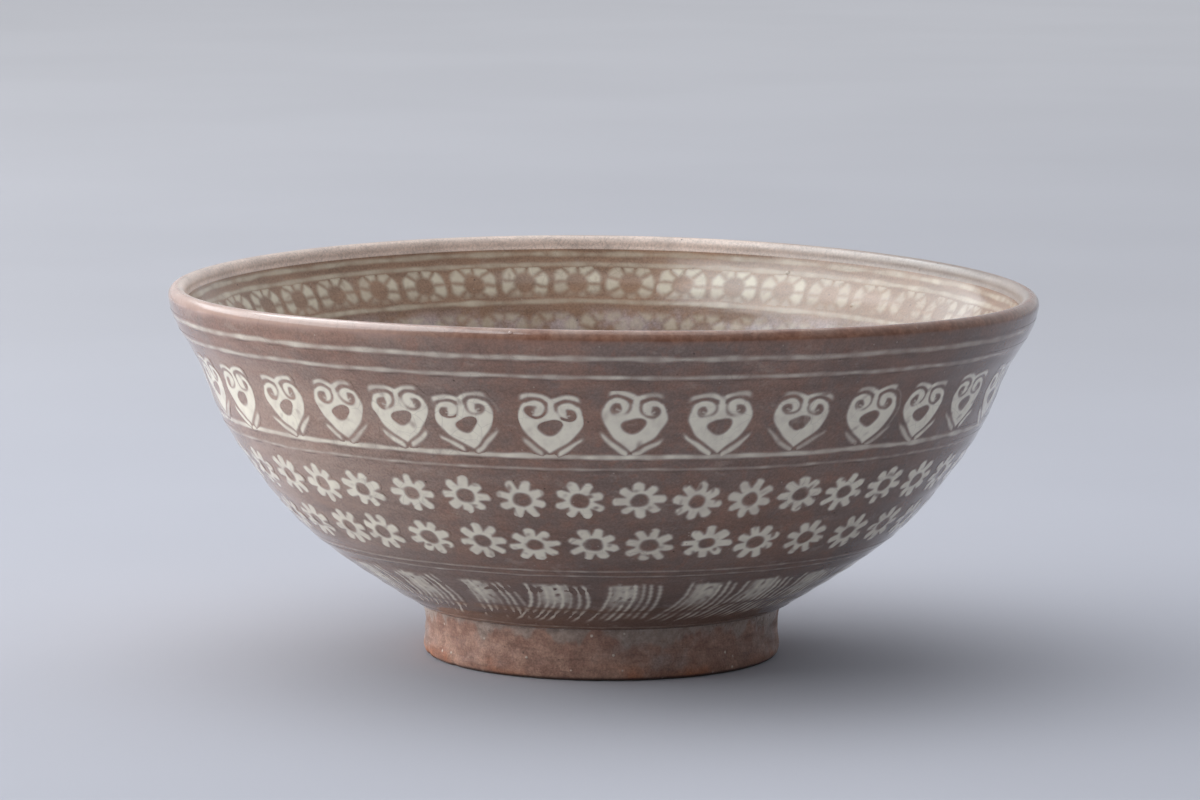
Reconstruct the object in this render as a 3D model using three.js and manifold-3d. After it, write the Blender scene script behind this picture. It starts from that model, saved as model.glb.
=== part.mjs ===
// Tea bowl of brown stoneware, with white slip set into lines and stamped hollows in its wall.
// Millimetres, +Z up. The origin is the middle of the foot ring's standing face.
// Angles go round the bowl from the front, which faces -Y, towards +X.
import * as THREE from 'three';
import { mergeVertices } from 'three/addons/utils/BufferGeometryUtils.js';
import Module from 'manifold-3d';

const wasm = await Module();
wasm.setup();

// Foot ring
const footHeight = 9;
const footTopRadius = 30.9;
const footWaist = 0.45; // how far the ring draws in between its top and its spread foot
const footWaistHeight = 5.4;
const footWidthAtTop = 6.3;
const footWidthAtFloor = 4.6;
const footEdge = 0.8; // the worn bevel round the standing face

// Wall: stations from the foot ring up to the widest line of the lip.
// rise is the height above the station before, thickness is square to the outer face.
const join = { radius: 31.8, rise: 0, thickness: 6.6 };
const lowerWall = { radius: 43.4, rise: 7.5, thickness: 5.8 };
const belly = { radius: 52.8, rise: 7.5, thickness: 5.2 };
const hip = { radius: 60.4, rise: 9.2, thickness: 4.7 };
const shoulder = { radius: 66.4, rise: 9.8, thickness: 4.2 };
const neck = { radius: 70.6, rise: 10, thickness: 3.7 };
const flare = { radius: 74.5, rise: 7.2, thickness: 3.2 };
const rim = { radius: 75, rise: 2.3, thickness: 3 };
const lipRise = 1.7; // height of the rounded lip above its widest line
const floorThickness = 6.2;
const poolRadius = 22; // the shallow pool in the middle of the floor
const poolRise = 0.7;

// Slip inlays
const lineDepth = 0.6;
const stampDepth = 0.8;
const inlayClearance = 0.15;

// Slip lines round the outside: below is the distance down the face from the lip's widest line.
const rimLineUpper = { name: 'rim_line_upper', below: 2.85, width: 0.9 };
const rimLineLower = { name: 'rim_line_lower', below: 6.35, width: 0.75 };
const heartBandLine = { name: 'heart_band_line', below: 21.4, width: 0.8 };
const rosetteBandLine = { name: 'rosette_band_line', below: 23.8, width: 0.5 };
const combBandLineUpper = { name: 'comb_band_line_upper', below: 47.9, width: 0.5 };
const combBandLineLower = { name: 'comb_band_line_lower', below: 49.5, width: 0.5 };
const footLine = { name: 'foot_line', above: 1.2, width: 0.5 }; // measured up the face from the foot ring

// Slip lines round the inside
const innerRimLineUpper = { name: 'inner_rim_line_upper', below: 1.6, width: 0.7 };
const innerRimLineLower = { name: 'inner_rim_line_lower', below: 3.7, width: 0.7 };
const innerStampLine = { name: 'inner_stamp_line', below: 11.2, width: 0.7 };

// Stamped hearts
const heartWidth = 10.4;
const heartHeight = 9.2;
const heartBelow = 14.8; // from the lip's widest line down the face to the middle of the heart
const eyeWidth = 4.2;
const eyeHeight = 2.7;
const frontHeartAngles = [
  -72.5, -61.7, -49.7, -38.6, -28.4, -18.8, -7,
  4.2, 16.1, 27.7, 39.6, 50.1, 61.7, 74.1,
];
const backHearts = 18; // evenly spaced over the rest of the way round

// Fineness of the solids
const sides = 48;
const wallStep = 6.5; // longest straight piece of the wall's section
const lipSteps = 6;
const heartPoints = 16;
const eyePoints = 6;
const curveSamples = 800;

const glaze = { color: 0x75675f, roughness: 0.28, metalness: 0 };
const slip = { color: 0xb8b3a1, roughness: 0.3, metalness: 0 };
const bareClay = { color: 0x8d6a5a, roughness: 0.75, metalness: 0 };

// A face of the wall, as a smooth curve from its foot (u = 0) to the lip (u = 1).
// outward is +1 where the open air lies away from the axis and -1 inside the bowl.
class WallFace {
  constructor(points, outward) {
    this.curve = new THREE.SplineCurve(points);
    this.curve.arcLengthDivisions = curveSamples;
    this.length = this.curve.getLength();
    this.outward = outward;
  }

  // Radius and height of the point that lies so far below the lip and so deep in the clay.
  at(below, depth = 0) {
    const u = THREE.MathUtils.clamp(1 - below / this.length, 0, 1);
    const point = this.curve.getPointAt(u);
    const tangent = this.curve.getTangentAt(u);
    const intoClay = new THREE.Vector2(-tangent.y, tangent.x).multiplyScalar(this.outward);
    return point.addScaledVector(intoClay, depth);
  }
}

const wallStations = [join, lowerWall, belly, hip, shoulder, neck, flare, rim];
let stationHeight = footHeight;
const outerPoints = wallStations.map(({ radius, rise }) => {
  stationHeight += rise;
  return new THREE.Vector2(radius, stationHeight);
});
const outerFace = new WallFace(outerPoints, 1);
const lipHeight = stationHeight;

// The inner face runs beside the outer one at the stations' thicknesses, then over the pool to the axis.
const floorHeight = footHeight + floorThickness;
const innerPoints = wallStations.slice(1, -1).map(({ thickness }, i) => {
  const tangent = outerFace.curve.getTangent((i + 1) / (wallStations.length - 1));
  const inward = new THREE.Vector2(-tangent.y, tangent.x);
  return outerPoints[i + 1].clone().addScaledVector(inward, thickness);
});
const innerFace = new WallFace([
  new THREE.Vector2(0, floorHeight),
  new THREE.Vector2(poolRadius, floorHeight + poolRise),
  ...innerPoints,
  new THREE.Vector2(rim.radius - rim.thickness, lipHeight),
], -1);

// The line over the foot ring keeps its place there if the wall grows.
const outerLines = [
  rimLineUpper,
  rimLineLower,
  heartBandLine,
  rosetteBandLine,
  combBandLineUpper,
  combBandLineLower,
  { ...footLine, below: outerFace.length - footLine.above },
];
const innerLines = [innerRimLineUpper, innerRimLineLower, innerStampLine];

// A line's V-shaped section on its face, from its upper edge to its lower one.
function lineSection(face, line, grow) {
  const half = line.width / 2 + grow;
  return [
    face.at(line.below - half),
    face.at(line.below, lineDepth + grow),
    face.at(line.below + half),
  ];
}

// The face's section from the lip down, cut by a groove for each line.
function groovedSection(face, lines) {
  const section = [];
  let reached = 0;
  const runTo = (end) => {
    const steps = Math.max(1, Math.round((end - reached) / wallStep));
    for (let i = 1; i < steps; i++) section.push(face.at(reached + ((end - reached) * i) / steps));
  };
  for (const line of [...lines].sort((a, b) => a.below - b.below)) {
    runTo(line.below - line.width / 2 - inlayClearance);
    section.push(...lineSection(face, line, inlayClearance));
    reached = line.below + line.width / 2 + inlayClearance;
  }
  runTo(face.length);
  return section;
}

// Turns a section round the bowl's axis, with its first side at the front.
function turned(section) {
  const geometry = new THREE.LatheGeometry(section, sides);
  geometry.rotateX(Math.PI / 2);
  return geometry;
}

function lipArc() {
  const middle = new THREE.Vector2(rim.radius - rim.thickness / 2, lipHeight);
  const arc = [];
  for (let i = 0; i <= lipSteps; i++) {
    const angle = (Math.PI * i) / lipSteps;
    arc.push(new THREE.Vector2(
      middle.x - (rim.thickness / 2) * Math.cos(angle),
      middle.y + lipRise * Math.sin(angle),
    ));
  }
  return arc;
}

function wallSection() {
  return [
    new THREE.Vector2(0, footHeight),
    new THREE.Vector2(join.radius, footHeight),
    ...groovedSection(outerFace, outerLines).reverse(),
    ...lipArc().reverse(),
    ...groovedSection(innerFace, innerLines),
    new THREE.Vector2(0, floorHeight),
  ];
}

function footSection() {
  const innerAtTop = footTopRadius - footWidthAtTop;
  const innerAtFloor = footTopRadius - footWidthAtFloor;
  return [
    new THREE.Vector2(footTopRadius, footHeight),
    new THREE.Vector2(innerAtTop, footHeight),
    new THREE.Vector2(innerAtFloor - footEdge / 2, footEdge),
    new THREE.Vector2(innerAtFloor, 0),
    new THREE.Vector2(footTopRadius - footEdge, 0),
    new THREE.Vector2(footTopRadius, footEdge),
    new THREE.Vector2(footTopRadius - footWaist, footWaistHeight),
    new THREE.Vector2(footTopRadius, footHeight),
  ];
}

// The usual heart curve, fitted to the stamp's width and height, anticlockwise from the notch.
function heartOutline() {
  const curveWidth = 32;
  const curveTop = 12;
  const curveTip = -17;
  const outline = [];
  for (let i = 0; i < heartPoints; i++) {
    const t = (-2 * Math.PI * i) / heartPoints;
    const x = 16 * Math.sin(t) ** 3;
    const y = 13 * Math.cos(t) - 5 * Math.cos(2 * t) - 2 * Math.cos(3 * t) - Math.cos(4 * t);
    outline.push(new THREE.Vector2(
      (x / curveWidth) * heartWidth,
      ((y - (curveTop + curveTip) / 2) / (curveTop - curveTip)) * heartHeight,
    ));
  }
  return outline;
}

function eyeOutline() {
  const outline = [];
  for (let i = 0; i < eyePoints; i++) {
    const angle = (2 * Math.PI * i) / eyePoints;
    outline.push(new THREE.Vector2((eyeWidth / 2) * Math.cos(angle), (eyeHeight / 2) * Math.sin(angle)));
  }
  return outline;
}

// Moves each point of an anticlockwise outline outwards by the given distance, which may be negative.
function grown(outline, by) {
  return outline.map((point, i) => {
    const before = outline[(i + outline.length - 1) % outline.length];
    const after = outline[(i + 1) % outline.length];
    const along = after.clone().sub(before).normalize();
    return point.clone().add(new THREE.Vector2(along.y, -along.x).multiplyScalar(by));
  });
}

// A heart's prism bent onto the wall at the front: x goes round it, y up its face and z out of it.
function heartOnWall(grow, depth, proud) {
  const shape = new THREE.Shape(grown(heartOutline(), grow));
  shape.holes.push(new THREE.Path(grown(eyeOutline(), -grow)));
  const geometry = new THREE.ExtrudeGeometry(shape, { depth: depth + proud, bevelEnabled: false });
  const position = geometry.getAttribute('position');
  for (let i = 0; i < position.count; i++) {
    const height = position.getZ(i) - depth;
    const surface = outerFace.at(heartBelow - position.getY(i));
    const place = outerFace.at(heartBelow - position.getY(i), -height);
    const angle = position.getX(i) / surface.x;
    position.setXYZ(i, place.x * Math.sin(angle), -place.x * Math.cos(angle), place.y);
  }
  return geometry;
}

// Triangles that share their corners, with the ones of no width left out.
function closedMesh(geometry) {
  const bare = new THREE.BufferGeometry();
  bare.setAttribute('position', geometry.getAttribute('position'));
  bare.setIndex(geometry.getIndex());
  const merged = mergeVertices(bare);
  const corners = merged.getIndex().array;
  const triangles = [];
  for (let i = 0; i < corners.length; i += 3) {
    const [a, b, c] = corners.slice(i, i + 3);
    if (a !== b && b !== c && c !== a) triangles.push(a, b, c);
  }
  merged.setIndex(triangles);
  return merged;
}

function toSolid(geometry) {
  const closed = closedMesh(geometry);
  return new wasm.Manifold(new wasm.Mesh({
    numProp: 3,
    vertProperties: Float32Array.from(closed.getAttribute('position').array),
    triVerts: Uint32Array.from(closed.getIndex().array),
  }));
}

function toGeometry(solid) {
  const mesh = solid.getMesh();
  const geometry = new THREE.BufferGeometry();
  geometry.setAttribute('position', new THREE.BufferAttribute(Float32Array.from(mesh.vertProperties), 3));
  geometry.setIndex([...mesh.triVerts]);
  geometry.computeVertexNormals();
  return geometry;
}

function heartAngles() {
  const first = frontHeartAngles[0];
  const last = frontHeartAngles.at(-1);
  const step = (360 - (last - first)) / (backHearts + 1);
  const back = Array.from({ length: backHearts }, (_, i) => last + step * (i + 1));
  return [...frontHeartAngles, ...back].map(THREE.MathUtils.degToRad);
}

const bowl = new THREE.Group();

function addPiece(name, geometry, finish) {
  const piece = new THREE.Mesh(geometry, new THREE.MeshStandardMaterial(finish));
  piece.name = name;
  bowl.add(piece);
  return piece;
}

// The wall, with a hollow for each heart a clearance wider and deeper than the slip in it.
const hollow = heartOnWall(inlayClearance, stampDepth + inlayClearance, stampDepth);
let wall = toSolid(turned(wallSection()));
for (const angle of heartAngles()) {
  wall = wall.subtract(toSolid(hollow.clone().rotateZ(angle)));
}
addPiece('bowl_wall', toGeometry(wall), glaze);
addPiece('foot_ring', turned(footSection()), bareClay);

for (const line of outerLines) {
  const [upper, deepest, lower] = lineSection(outerFace, line, 0);
  addPiece(line.name, turned([upper, deepest, lower, upper]), slip);
}
for (const line of innerLines) {
  const [upper, deepest, lower] = lineSection(innerFace, line, 0);
  addPiece(line.name, turned([upper, lower, deepest, upper]), slip);
}

const heart = heartOnWall(0, stampDepth, 0);
heartAngles().forEach((angle, i) => {
  const name = `heart_inlay_${String(i + 1).padStart(2, '0')}`;
  addPiece(name, heart, slip).rotation.z = angle;
});

export default bowl;
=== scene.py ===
"""Looks of the inlaid tea bowl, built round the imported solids.

Metres in the scene and millimetres in the sizes below, +Z up. The bowl's axis is Z, and its front
faces -Y. A place on the wall is an angle round the bowl from the front, and a distance down the face
from the lip's widest line.
"""
import math

import bpy
import numpy as np
from mathutils import Euler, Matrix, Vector


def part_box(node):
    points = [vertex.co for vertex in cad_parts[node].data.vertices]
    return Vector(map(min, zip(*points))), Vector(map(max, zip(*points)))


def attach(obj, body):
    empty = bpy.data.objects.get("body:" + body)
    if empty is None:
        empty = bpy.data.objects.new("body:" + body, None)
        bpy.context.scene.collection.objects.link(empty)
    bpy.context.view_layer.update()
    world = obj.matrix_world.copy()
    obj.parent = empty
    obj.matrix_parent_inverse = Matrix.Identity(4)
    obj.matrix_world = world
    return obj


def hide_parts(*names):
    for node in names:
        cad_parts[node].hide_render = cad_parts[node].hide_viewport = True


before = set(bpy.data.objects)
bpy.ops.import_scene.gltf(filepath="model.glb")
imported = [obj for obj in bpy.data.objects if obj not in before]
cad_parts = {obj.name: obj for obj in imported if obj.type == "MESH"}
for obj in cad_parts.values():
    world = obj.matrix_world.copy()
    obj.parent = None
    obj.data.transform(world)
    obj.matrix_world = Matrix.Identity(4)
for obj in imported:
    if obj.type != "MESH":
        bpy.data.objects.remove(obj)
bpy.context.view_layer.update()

MM = 0.001

# Heights and radii that the frame gives, mm
FOOT_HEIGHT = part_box("foot_ring")[1].z / MM
FOOT_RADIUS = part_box("foot_ring")[1].x / MM
RIM_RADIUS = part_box("bowl_wall")[1].x / MM
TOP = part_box("bowl_wall")[1].z / MM

# Wall stations from the foot ring up: outer radius, rise above the last one, thickness
STATIONS = (
    (31.8, 0.0, 6.6),
    (43.4, 7.5, 5.8),
    (52.8, 7.5, 5.2),
    (60.4, 9.2, 4.7),
    (66.4, 9.8, 4.2),
    (70.6, 10.0, 3.7),
    (74.5, 7.2, 3.2),
    (RIM_RADIUS, 2.3, 3.0),
)
LIP_RISE = 1.7
FLOOR_THICKNESS = 6.2
POOL_RADIUS = 22.0
POOL_RISE = 0.7
UNDERSIDE_DROP = 0.02  # the wall's underside below the foot's top, so that no gap shows between them
SECTION_STEPS = 1500

# Foot ring
FOOT_WAIST = 0.45  # how far its side is drawn in
FOOT_EDGE = 0.8  # the worn edge that it stands on
FOOT_INNER_TOP = FOOT_RADIUS - 6.3
FOOT_INNER_FLOOR = FOOT_RADIUS - 4.6

# How far the hand-thrown rim leaves a true plane and circle
SADDLE = 0.64
TILT = 0.41
OVAL = 0.0015  # share of the radius

# Throwing rings
RING_DEPTH = 0.035  # from the mean to a crest
RING_PITCH = 4.3
RING_FADE = 8.0  # they start below the lip over this distance

# Slip
LIFT = 0.012  # an inlay's rim above the clay, so that the two never share a surface
SWELL = 0.03  # how much more the slip stands up in its middle
INLAY_DEPTH = 0.35
EDGE_LEVEL = 0.03  # slip cover at the outline of an inlay
GRID = 0.19  # spacing of a stamp's mesh

# Slip lines: name, distance down, width and slip cover
OUTER_LINES = (
    ("rim_line_upper", 2.85, 1.0, 0.52),
    ("rim_line_lower", 6.35, 0.95, 0.52),
    ("heart_band_line", 21.4, 1.0, 0.66),
    ("rosette_band_line", 23.8, 0.6, 0.46),
    ("comb_band_line_upper", 47.9, 0.5, 0.46),
    ("comb_band_line_lower", 49.5, 0.5, 0.46),
)
FOOT_LINE = ("foot_line", 1.2, 0.5, 0.36)  # with its distance up from the face's lower edge
INNER_LINES = (
    ("inner_rim_line_upper", 1.6, 1.0, 0.54),
    ("inner_rim_line_lower", 3.7, 1.0, 0.54),
    ("inner_stamp_line", 11.2, 1.0, 0.56),
)

# Stamps outside: angles on the photographed side in degrees, the number on the far side, the distance
# down to the middle, the seed, and the half size of the patch of mesh that holds one
HEART_ANGLES = (-72.5, -61.7, -49.7, -38.6, -28.4, -18.8, -7, 4.2, 16.1, 27.7, 39.6, 50.1, 61.7, 74.1)
HEARTS_BEHIND = 18
HEART_DOWN = 15.8
HEART_PATCH = 6.9
UPPER_FLOWER_ANGLES = (
    -67.1, -57.7, -48.8, -39.9, -30.3, -21.1, -12.2, -3.4, 5.6, 14.5, 23, 31.6, 40.1, 48.9, 58, 67.1,
)
LOWER_FLOWER_ANGLES = (
    -69.6, -59.6, -49.1, -40.8, -30.7, -20.6, -11.4, -1.4, 8, 17.9, 27.1, 37.2, 47.5, 57.7,
)
FLOWER_ROWS = (
    ("upper_flowers", UPPER_FLOWER_ANGLES, 24, 30.4, 1000),
    ("lower_flowers", LOWER_FLOWER_ANGLES, 23, 40.6, 2000),
)
FLOWER_PATCH = 4.9
FLOWERS_PER_PIECE = 8
COMB_ANGLES = (-59, -43, -25, -10, 7, 23.6, 37.5, 53)
COMBS_BEHIND = 14
COMB_TOP = 51.0
COMB_BOTTOM = 68.6
COMB_PATCH_WIDTH = 11.0
COMB_PATCH_MARGIN = 0.4

# Rows of wheels inside: name, distance down, slip cover, shift round by a share of a wheel, and seed
INNER_ROWS = (
    ("inner_stamps", 7.45, 0.82, 0.0, 4000),
    ("inner_stamps_second_row", 16.6, 0.60, 0.5, 5000),
)
INNER_STAMPS = 44
INNER_STAMP_PATCH = (4.9, 4.3)
INNER_STAMPS_PER_PIECE = 11

# Sizes in the stamps' drawings
LOBE_OUT = 2.7
LOBE_UP = 2.5
LOBE_RADIUS = 2.4
VOLUTE_UP = 2.9
CURL_UP = 2.75
BROW_OUT = 2.8
BROW_UP = 1.35
BROW_RADIUS = 4.38
BROW_HALF = 0.56
FLOWER_RADIUS = 4.25
FLOWER_RING_RADIUS = 2.5
PETALS = 8
WEDGES = 8
WEDGE_BAND = 3.4  # half height of the wheels between the lines
COMB_SPACING = 1.36

# Seeds of the random draws, and how far apart those of neighbours are
RUST_SEED = 41
FOOT_SEED = 61
LEAN_SEED = 77
LINE_SEED = 100
LINE_SEED_STEP = 10
HEART_SEED = 200
COMB_SEED = 3000
STAMP_SEED_STEP = 7

# Camera: a long lens in front of the bowl, aimed a little above its middle, in metres and radians, with
# its lens and sensor in mm
CAMERA_DISTANCE = 1.0
CAMERA_HEIGHT = 0.17605
CAMERA_PITCH = math.radians(7.53)
CAMERA_YAW = math.radians(0.03)
CAMERA_ROLL = 0.0064
LENS = 175.06
SENSOR = 36


def spline(t, values, at):
    """A natural cubic spline through values at t, read at the places in at."""
    h = np.diff(t)
    slopes = np.diff(values) / h
    n = len(t)
    a = np.eye(n)
    b = np.zeros(n)
    for i in range(1, n - 1):
        a[i, i - 1 : i + 2] = h[i - 1], 2 * (h[i - 1] + h[i]), h[i]
        b[i] = 6 * (slopes[i] - slopes[i - 1])
    m = np.linalg.solve(a, b)
    k = np.clip(np.searchsorted(t, at) - 1, 0, n - 2)
    x = at - t[k]
    first = slopes[k] - h[k] * (2 * m[k] + m[k + 1]) / 6
    return values[k] + first * x + m[k] / 2 * x**2 + (m[k + 1] - m[k]) / (6 * h[k]) * x**3


class Face:
    """One face of the wall in section, as tables against the distance down from the lip."""

    def __init__(self, radii, heights, outward):
        chords = np.concatenate([[0], np.cumsum(np.hypot(np.diff(radii), np.diff(heights)))])
        t = np.linspace(0, chords[-1], SECTION_STEPS)
        r = spline(chords, np.array(radii), t)
        z = spline(chords, np.array(heights), t)
        run = np.concatenate([[0], np.cumsum(np.hypot(np.diff(r), np.diff(z)))])
        dr, dz = np.gradient(r, run), np.gradient(z, run)
        self.length = run[-1]
        self.outward = outward
        self.down = (self.length - run)[::-1]
        self.r, self.z = r[::-1], z[::-1]
        self.nr, self.nz = (outward * dz)[::-1], (-outward * dr)[::-1]

    def read(self, table, down):
        return np.interp(down, self.down, table)

    def place(self, angle, down, lift=0.0):
        """Points in metres at an angle round the bowl and a distance down the face, so far above it."""
        r, z = self.read(self.r, down), self.read(self.z, down)
        lift = lift + throwing_rings(angle, down, self.outward)
        return bend(angle, r + lift * self.read(self.nr, down), z + lift * self.read(self.nz, down))


def throwing_rings(angle, down, outward):
    """Height of the soft spiral that the potter's fingers leave, fading out at the lip."""
    turn = 2 * math.pi * down / RING_PITCH + angle
    fade = np.clip(down / RING_FADE, 0, 1)
    return RING_DEPTH * fade * (np.sin(turn) + 0.5 * np.sin(0.43 * turn + 2 * outward))


def bend(angle, r, z):
    """Turns radius and height into metres, with the hand-thrown bowl's warp."""
    rise = np.clip(z / TOP, 0, 1) ** 2
    z = z + rise * (SADDLE * np.cos(2 * angle) - TILT * np.sin(angle))
    r = r * (1 + rise * OVAL * np.cos(2 * angle + 0.7))
    return np.stack([r * np.sin(angle), -r * np.cos(angle), z], axis=-1) * MM


def make_faces():
    """The outer face through the stations, and the inner one by the wall's thickness inside it."""
    radii, rises, thicknesses = np.array(STATIONS).T
    heights = FOOT_HEIGHT + np.cumsum(rises)
    outer = Face(radii, heights, 1)
    floor = FOOT_HEIGHT + FLOOR_THICKNESS
    inner_r, inner_z = [0.0, POOL_RADIUS], [floor, floor + POOL_RISE]
    for r, z, thickness in list(zip(radii, heights, thicknesses))[1:-1]:
        near = np.argmin(np.hypot(outer.r - r, outer.z - z))
        inner_r.append(r - thickness * outer.nr[near])
        inner_z.append(z - thickness * outer.nz[near])
    inner_r.append(radii[-1] - thicknesses[-1])
    inner_z.append(heights[-1])
    return outer, Face(inner_r, inner_z, -1)


OUTER, INNER = make_faces()


def smooth(x):
    """A smooth step from 0 to 1 while x goes from 0 to 1."""
    x = np.clip(x, 0, 1)
    return x * x * (3 - 2 * x)


def wobble(seed, x, y, size):
    """Smooth noise between about -1 and 1, from a few random waves about so long."""
    rng = np.random.default_rng(seed)
    terms = 5
    total = 0
    for _ in range(terms):
        way = rng.uniform(0, 2 * math.pi)
        pace = rng.uniform(0.6, 1.7) * 2 * math.pi / size
        total = total + np.sin(pace * (x * math.cos(way) + y * math.sin(way)) + rng.uniform(0, 6.28))
    return total / terms * 1.6


def round_noise(seed, angle, waves):
    """Smooth noise round the bowl, with up to so many waves, that meets itself after a full turn."""
    rng = np.random.default_rng(seed)
    terms = 6
    total = 0
    for _ in range(terms):
        total = total + np.sin(rng.integers(waves // 3 + 1, waves + 1) * angle + rng.uniform(0, 6.28))
    return total / terms * 1.6


# Meshes


class Skin:
    """Gathers patches of mesh, with what the material reads at each point, into one piece."""

    def __init__(self):
        self.points, self.faces, self.marks = [], [], {}
        self.count = 0

    def add(self, points, faces, **marks):
        self.points.append(points)
        self.faces += [[self.count + i for i in face] for face in faces]
        for name in ("slip", "shade", "rust", "inside", "lip"):
            values = np.broadcast_to(marks.get(name, 0.0), len(points))
            self.marks.setdefault(name, []).append(values)
        self.count += len(points)

    def build(self, name, material, nodes=(), sharp=40):
        mesh = bpy.data.meshes.new(name)
        mesh.from_pydata(np.concatenate(self.points).tolist(), [], self.faces)
        for mark, values in self.marks.items():
            layer = mesh.attributes.new(mark, "FLOAT", "POINT")
            layer.data.foreach_set("value", np.concatenate(values).astype(np.float32))
        mesh.polygons.foreach_set("use_smooth", [True] * len(mesh.polygons))
        mesh.set_sharp_from_angle(angle=math.radians(sharp))
        mesh.materials.append(material)
        piece = bpy.data.objects.new(name, mesh)
        bpy.context.collection.objects.link(piece)
        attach(piece, "root")
        if nodes:
            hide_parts(*nodes)


def grid_faces(rows, columns, closed):
    """Quads of a grid, row by row; closed says that its last column meets the first one."""
    faces = []
    for first in range(0, (rows - 1) * columns, columns):
        second = first + columns
        for j in range(columns if closed else columns - 1):
            k = (j + 1) % columns
            faces.append((first + j, first + k, second + k, second + j))
    return faces


def ring_faces(rows, columns):
    """Quads of a closed ring, whose last row meets the first one too."""
    last = (rows - 1) * columns
    seam = [(last + j, last + (j + 1) % columns, (j + 1) % columns, j) for j in range(columns)]
    return grid_faces(rows, columns, closed=True) + seam


def cut_grid(cover):
    """The part of a grid where cover is over EDGE_LEVEL, with a clean outline.

    Returns each point's row and column as fractions, and the faces.
    """
    rows, columns = cover.shape
    inside = cover > EDGE_LEVEL
    number = -np.ones(cover.shape, int)
    number[inside] = np.arange(inside.sum())
    places = [tuple(p) for p in np.argwhere(inside).astype(float)]
    crossings = {}

    def crossing(a, b):
        key = (a, b) if a < b else (b, a)
        if key not in crossings:
            (r0, c0), (r1, c1) = key
            part = (EDGE_LEVEL - cover[r0, c0]) / (cover[r1, c1] - cover[r0, c0])
            crossings[key] = len(places)
            places.append((r0 + part * (r1 - r0), c0 + part * (c1 - c0)))
        return crossings[key]

    corners_in = inside[:-1, :-1].astype(int) + inside[1:, :-1] + inside[:-1, 1:] + inside[1:, 1:]
    r, c = np.nonzero(corners_in == 4)
    quads = [number[r, c], number[r, c + 1], number[r + 1, c + 1], number[r + 1, c]]
    faces = np.stack(quads, 1).tolist()
    for r, c in np.argwhere((corners_in > 0) & (corners_in < 4)):
        ring = [(r, c), (r, c + 1), (r + 1, c + 1), (r + 1, c)]
        face = []
        for a, b in zip(ring, ring[1:] + ring[:1]):
            if inside[a]:
                face.append(number[a])
            if inside[a] != inside[b]:
                face.append(crossing(a, b))
        faces.append([int(i) for i in face])
    return np.array(places), faces


def thick(faces, count):
    """A sheet's faces, with a copy of them turned over below and walls between the two rims."""
    ways = {(a, b) for face in faces for a, b in zip(face, face[1:] + face[:1])}
    below = [[i + count for i in reversed(face)] for face in faces]
    walls = [[b, a, a + count, b + count] for a, b in ways if (b, a) not in ways]
    return faces + below + walls


def add_stamp(skin, face, angle, down, half_width, half_height, cover_of, inside=0.0):
    """Sets one patch of slip in the wall: cover_of(u, v) gives its cover at u mm right and v mm up."""
    u = np.arange(-half_width, half_width + GRID / 2, GRID)
    v = np.arange(-half_height, half_height + GRID / 2, GRID)
    cover = cover_of(*np.meshgrid(u, v))
    cover[[0, -1], :] = 0
    cover[:, [0, -1]] = 0
    places, faces = cut_grid(cover)
    x = np.interp(places[:, 1], np.arange(len(u)), u)
    y = np.interp(places[:, 0], np.arange(len(v)), v)
    r0, c0 = places.astype(int).T
    r1, c1 = np.minimum(r0 + 1, len(v) - 1), np.minimum(c0 + 1, len(u) - 1)
    part_r, part_c = (places - np.stack([r0, c0], 1)).T
    row_0 = cover[r0, c0] * (1 - part_c) + cover[r0, c1] * part_c
    row_1 = cover[r1, c0] * (1 - part_c) + cover[r1, c1] * part_c
    slip = row_0 * (1 - part_r) + row_1 * part_r
    down_at = down - y
    round_at = angle + face.outward * x / face.read(face.r, down_at)
    top = face.place(round_at, down_at, LIFT + SWELL * smooth(slip))
    bottom = face.place(round_at, down_at, -INLAY_DEPTH)
    points = np.concatenate([top, bottom])
    skin.add(points, thick(faces, len(top)), slip=np.tile(slip, 2), inside=inside)


def add_line(skin, face, down, width, covered, seed, inside=0.0):
    """A slip line round the bowl, uneven in width and cover. Outside, painted shade darkens its lower edge
    in places.
    """
    steps, rows, margin = 900, 9, 0.42
    angle = np.linspace(0, 2 * math.pi, steps, endpoint=False)
    across = np.linspace(-1, 1, rows) * (width / 2 + margin)
    middle = 0.10 * round_noise(seed, angle, 24) + 0.05 * round_noise(seed + 1, angle, 90)
    half = width / 2 * (1 + 0.22 * round_noise(seed + 2, angle, 70))
    strength = covered + 0.11 * round_noise(seed + 3, angle, 45)
    strength = strength + 0.08 * round_noise(seed + 4, angle, 150)
    strength = np.clip(strength + 0.12 * np.cos(angle + 0.9), 0.12, 1)
    points, slip, shade = [], [], []
    for offset in across:
        away = np.abs(offset - middle)
        cover = strength * smooth((half - away) / 0.7 + 0.5)
        # Painted shade: a dark band just below the line's lower edge, broken up round the bowl, only
        # outside
        dark = smooth(1 - np.abs(offset - middle - half - 0.16) / 0.22)
        dark = dark * smooth(0.35 + 0.7 * round_noise(seed + 5, angle, 70)) * (1 - inside)
        if abs(offset) == abs(across[0]):
            cover, dark = cover * 0, dark * 0
        points.append(face.place(angle, down + offset, 1.5 * LIFT + SWELL * cover))
        slip.append(cover)
        shade.append(dark)
    points.append(face.place(angle, down, -INLAY_DEPTH))
    slip.append(np.zeros(steps))
    shade.append(np.zeros(steps))
    faces = ring_faces(len(points), steps)
    if face.outward > 0:
        faces = [f[::-1] for f in faces]
    slip, shade = np.concatenate(slip), np.concatenate(shade)
    skin.add(np.concatenate(points), faces, slip=slip, shade=shade, inside=inside)


# Stamps


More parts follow.
